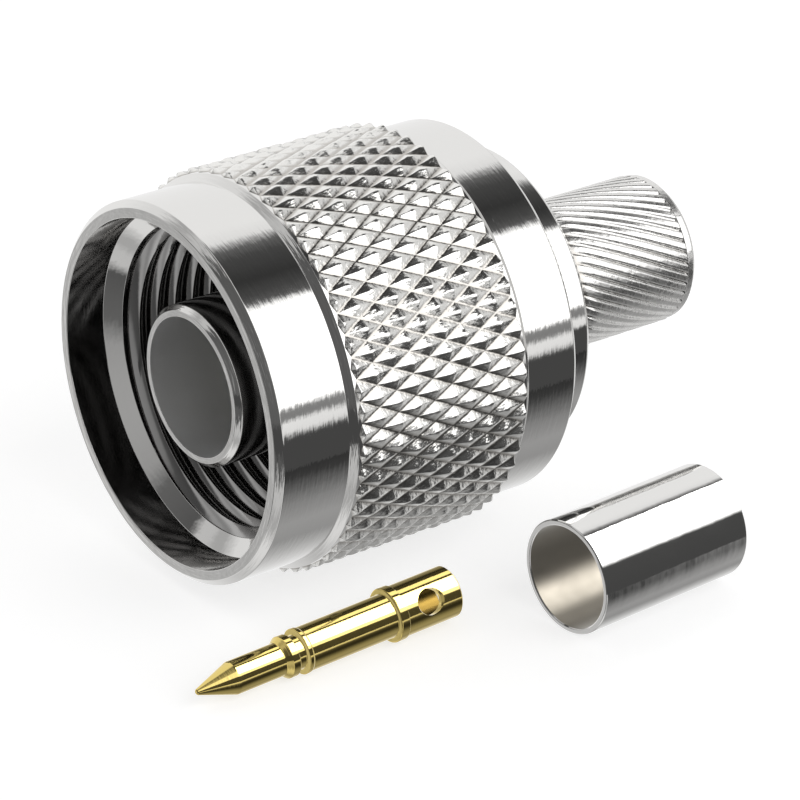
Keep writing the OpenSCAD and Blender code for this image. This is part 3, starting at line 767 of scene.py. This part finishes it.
# Gold plate on turned brass: lemon yellow, near white in the lights and olive in the darks.
# A usual feed of about 0.05 mm is too fine to show, so it is drawn at 0.12 mm.
goldMarks = {"pitch": 0.12, "run": 1.5, "cloud": 0.8, "depth": 0.003, "lump": 0.4, "lumpDepth": 0.002}
goldPlate = plated("goldPlateOnTurnedBrass", "#E8D07E", (0.05, 0.10), goldMarks, pinPlace)

# Gold in the barrel's bore: dull, and its colour painted a dark brown as shade, so that the window reads as a
# hole
goldInside = plated("goldPlateInTheBoreWithPaintedShade", "#6B5728", (0.25, 0.32), goldMarks, pinPlace)

pinContact = turned("pinContact", [
    (0, 0),
    (0, pin["tip"], 0.03),
    (0.05, pin["tip"] + 0.05, 0.03),
    (pin["coneEnd"], pin["point"], 0.3),
    (pin["collarStart"], pin["point"], 0.1),
    (pin["collarStart"] + pin["flare"], pin["collar"], 0.06),
    (pin["collarEnd"], pin["collar"], 0.06),
    (pin["collarEnd"], pin["neck"], 0.05),
    (pin["neckEnd"], pin["neck"], 0.05),
    (pin["neckEnd"], pin["lip"]),
    (pin["neckEnd"] + pin["lipRun"], pin["lip"]),
    (pin["neckEnd"] + pin["lipFoot"], pin["body"]),
    (pin["ringStart"], pin["body"], 0.05),
    (pin["ringStart"], pin["ring"], 0.08),
    (pin["ringEnd"], pin["ring"], 0.08),
    (pin["ringEnd"], pin["barrel"], 0.05),
    (pin["end"] - pin["endChamfer"], pin["barrel"]),
    (pin["end"], pin["barrel"] - pin["endChamfer"]),
    (pin["end"], pin["bore"] + pin["mouthChamfer"], 0.03),
    (pin["end"] - pin["mouthChamfer"], pin["bore"], 0.03),
    (pin["boreStart"] + pin["drillPoint"], pin["bore"], 0.1),
    (pin["boreStart"], 0),
], [goldPlate, goldInside], segments=160, roundness=0.04, place=pinPlace)
drillPlace = (pinPlace @ Matrix.Rotation(math.radians(pin["windowTurn"]), 4, "X")
              @ Matrix.Translation((pin["windowAt"], 0, 0)) @ Matrix.Rotation(math.radians(-90), 4, "Y"))
windowDrill = turned("windowDrill", [
    (0, 0),
    (0, pin["window"]),
    (pin["barrel"] - pin["windowEdge"], pin["window"]),
    (pin["barrel"] + 0.1, pin["window"] + pin["windowEdge"]),
    (2 * pin["barrel"], pin["window"] + pin["windowEdge"]),
    (2 * pin["barrel"], 0),
], [], segments=64, roundness=0.001, place=drillPlace)
cut = pinContact.modifiers.new("window", "BOOLEAN")
cut.operation = "DIFFERENCE"
cut.object = windowDrill
cut.solver = "EXACT"
frozen(pinContact)
bpy.data.objects.remove(windowDrill)

# the cut loses the turned normals: each face's slope is carried round to its corners again
intoPin, intoDrill = pinPlace.inverted(), drillPlace.inverted()
cornerNormals = [None] * len(pinContact.data.loops)
for polygon in pinContact.data.polygons:
    centre = intoPin @ (polygon.center / mm)
    inTheBore = centre.x > pin["boreStart"] and math.hypot(centre.y, centre.z) < pin["bore"] + 0.01
    # the bore takes the gold painted dark brown as shade
    polygon.material_index = 1 if inTheBore else 0
    slope = intoPin.to_3x3() @ polygon.normal
    spoke = Vector((0, centre.y, centre.z)).normalized()
    onTheTurning = abs(slope.cross(spoke).x) < 0.03
    for corner in polygon.loop_indices:
        point = pinContact.data.vertices[pinContact.data.loops[corner].vertex_index].co / mm
        if onTheTurning:
            local = intoPin @ point
            outwards = Vector((0, local.y, local.z)).normalized()
            normal = pinPlace.to_3x3() @ (Vector((slope.x, 0, 0)) + outwards * slope.dot(spoke))
        else:
            local = intoDrill @ point
            towardsAxis = -Vector((0, local.y, local.z)).normalized()
            tilt = (intoDrill.to_3x3() @ polygon.normal).x
            level = math.sqrt(max(0.0, 1 - tilt * tilt))
            normal = drillPlace.to_3x3() @ (Vector((tilt, 0, 0)) + towardsAxis * level)
        cornerNormals[corner] = normal.normalized()
pinContact.data.normals_split_custom_set(cornerNormals)
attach(pinContact, "plug_body")
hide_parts("centre_pin")
pinContact.visible_glossy = False  # the loose pieces stay out of the plug's reflections


# Crimp ferrule

ferrule = {"frontAt": (11.2, -15.35), "yaw": 3.8, "length": 9.3, "bore": 2.6, "outside": 2.9, "edge": 0.06}
ferrulePlace = (Matrix.Translation((*ferrule["frontAt"], floorHeight + ferrule["outside"]))
                @ Matrix.Rotation(math.radians(ferrule["yaw"]), 4, "Z"))

# Nickel on drawn brass tube: mirror bright, its bands rippled by long shallow waves from the drawing
drawnMarks = {"pitch": 0.5, "run": 4.0, "cloud": 1.5, "depth": 0.002, "lump": 1.2, "lumpDepth": 0.012}
ferruleNickel = plated("nickelPlateOnDrawnBrass", "#E5E4E2", (0.05, 0.09), drawnMarks, ferrulePlace)

# Dull nickel inside the tube: a warm grey, painted darker as shade, that only glows along its length
innerMarks = {"pitch": 0.4, "run": 4.0, "cloud": 1.0, "depth": 0.001, "lump": 0.8, "lumpDepth": 0.002}
ferruleInside = plated("dullNickelInTheFerruleWithPaintedShade", "#979186", (0.40, 0.46), innerMarks, ferrulePlace)

ferruleSleeve = turned("ferruleSleeve", [
    (ferrule["edge"], ferrule["bore"]),
    (0, ferrule["bore"] + ferrule["edge"]),
    (0, ferrule["outside"] - ferrule["edge"]),
    (ferrule["edge"], ferrule["outside"]),
    (ferrule["length"] - ferrule["edge"], ferrule["outside"]),
    (ferrule["length"], ferrule["outside"] - ferrule["edge"]),
    (ferrule["length"], ferrule["bore"] + ferrule["edge"]),
    (ferrule["length"] - ferrule["edge"], ferrule["bore"]),
], [ferruleNickel, ferruleInside], roundness=0.04, place=ferrulePlace)
for polygon in ferruleSleeve.data.polygons:
    x, y, z = ferrulePlace.inverted() @ (polygon.center / mm)
    polygon.material_index = 1 if math.hypot(y, z) < ferrule["bore"] + 0.01 else 0
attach(ferruleSleeve, "plug_body")
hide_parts("crimp_ferrule")
ferruleSleeve.visible_glossy = False
print("pin and ferrule laid down")


# A soft box above the two loose pieces, which lights nothing else

box = {
    "over": (7, -13, -8), "distance": 150, "turn": 22, "along": 0.533, "across": 0.846,
    "wide": 127, "long": 120, "level": 5.0,
}
boxTurn = math.radians(box["turn"])
boxOutwards = Vector((box["along"], -box["across"] * math.sin(boxTurn), box["across"] * math.cos(boxTurn)))
boxAcross = Vector((0, -math.cos(boxTurn), -math.sin(boxTurn)))
boxLight = bpy.data.lights.new("softBox", "AREA")
boxLight.shape = "RECTANGLE"
boxLight.size = box["wide"] * mm
boxLight.size_y = box["long"] * mm
boxLight.energy = box["level"] * math.pi * boxLight.size * boxLight.size_y
softBox = bpy.data.objects.new("softBox", boxLight)
bpy.context.scene.collection.objects.link(softBox)
softBox.location = (Vector(box["over"]) + boxOutwards * box["distance"]) * mm
boxAxes = Matrix((boxAcross, boxOutwards.cross(boxAcross), boxOutwards)).transposed()
softBox.rotation_euler = boxAxes.to_euler()
loosePieces = bpy.data.collections.new("loosePieces")
loosePieces.objects.link(pinContact)
loosePieces.objects.link(ferruleSleeve)
softBox.light_linking.receiver_collection = loosePieces


# A long dark card beside them, seen only in reflections, with a soft upper edge

card = {
    "from": -90, "to": 120, "away": -23.6, "top": -1.7, "solidBelow": -3.1, "foot": -10.24, "level": 0.07,
}
cardMesh = bpy.data.meshes.new("darkCard")
cardCorners = [
    (card["from"], card["top"]), (card["to"], card["top"]),
    (card["to"], card["foot"]), (card["from"], card["foot"]),
]
cardMesh.from_pydata([Vector((x, card["away"], z)) * mm for x, z in cardCorners], [], [(0, 1, 2, 3)])
cardPaper = newMaterial("darkCardPaper")
cardTree = cardPaper.node_tree
cardCoordinates = addNode(cardTree, "ShaderNodeTexCoord")
cardSpot = addNode(cardTree, "ShaderNodeSeparateXYZ", {}, {0: cardCoordinates.outputs["Object"]})
cardShare = addNode(cardTree, "ShaderNodeMapRange", {"interpolation_type": "SMOOTHSTEP"}, {
    "Value": cardSpot.outputs["Z"], "From Min": card["top"] * mm, "From Max": card["solidBelow"] * mm})
cardTone = addNode(cardTree, "ShaderNodeEmission", {}, {
    "Color": (card["level"], card["level"], card["level"], 1)})
cardClear = addNode(cardTree, "ShaderNodeBsdfTransparent")
cardMix = addNode(cardTree, "ShaderNodeMixShader", {}, {0: cardShare, 1: cardClear, 2: cardTone})
addNode(cardTree, "ShaderNodeOutputMaterial", {}, {"Surface": cardMix})
cardMesh.materials.append(cardPaper)
darkCard = newObject("darkCard", cardMesh)
darkCard.visible_camera = False
darkCard.visible_shadow = False
darkCard.visible_diffuse = False


# Floor: pale paper, keeps the shadows, and stays out of the metal's reflections

floor = {"reach": 400, "paper": 0.5, "glow": 0.68}
reachOut = floor["reach"]
floorCorners = [(-reachOut, -reachOut), (reachOut, -reachOut), (reachOut, reachOut), (-reachOut, reachOut)]
floorMesh = bpy.data.meshes.new("studioFloor")
floorMesh.from_pydata([Vector((x, y, floorHeight)) * mm for x, y in floorCorners], [], [(0, 1, 2, 3)])
palePaper = newMaterial("palePaper")
paper = palePaper.node_tree
paperLit = addNode(paper, "ShaderNodeBsdfDiffuse", {}, {
    "Color": (floor["paper"], floor["paper"], floor["paper"], 1)})
paperGlow = addNode(paper, "ShaderNodeEmission", {}, {"Color": (1, 1, 1, 1), "Strength": floor["glow"]})
paperRays = addNode(paper, "ShaderNodeLightPath")
paperSeen = addNode(paper, "ShaderNodeAddShader", {}, {0: paperLit, 1: paperGlow})
paperBoth = addNode(paper, "ShaderNodeMixShader", {}, {
    0: paperRays.outputs["Is Camera Ray"], 1: paperLit, 2: paperSeen})
addNode(paper, "ShaderNodeOutputMaterial", {}, {"Surface": paperBoth})
floorMesh.materials.append(palePaper)
studioFloor = newObject("studioFloor", floorMesh)
studioFloor.visible_glossy = False
print("soft box, card and floor placed")
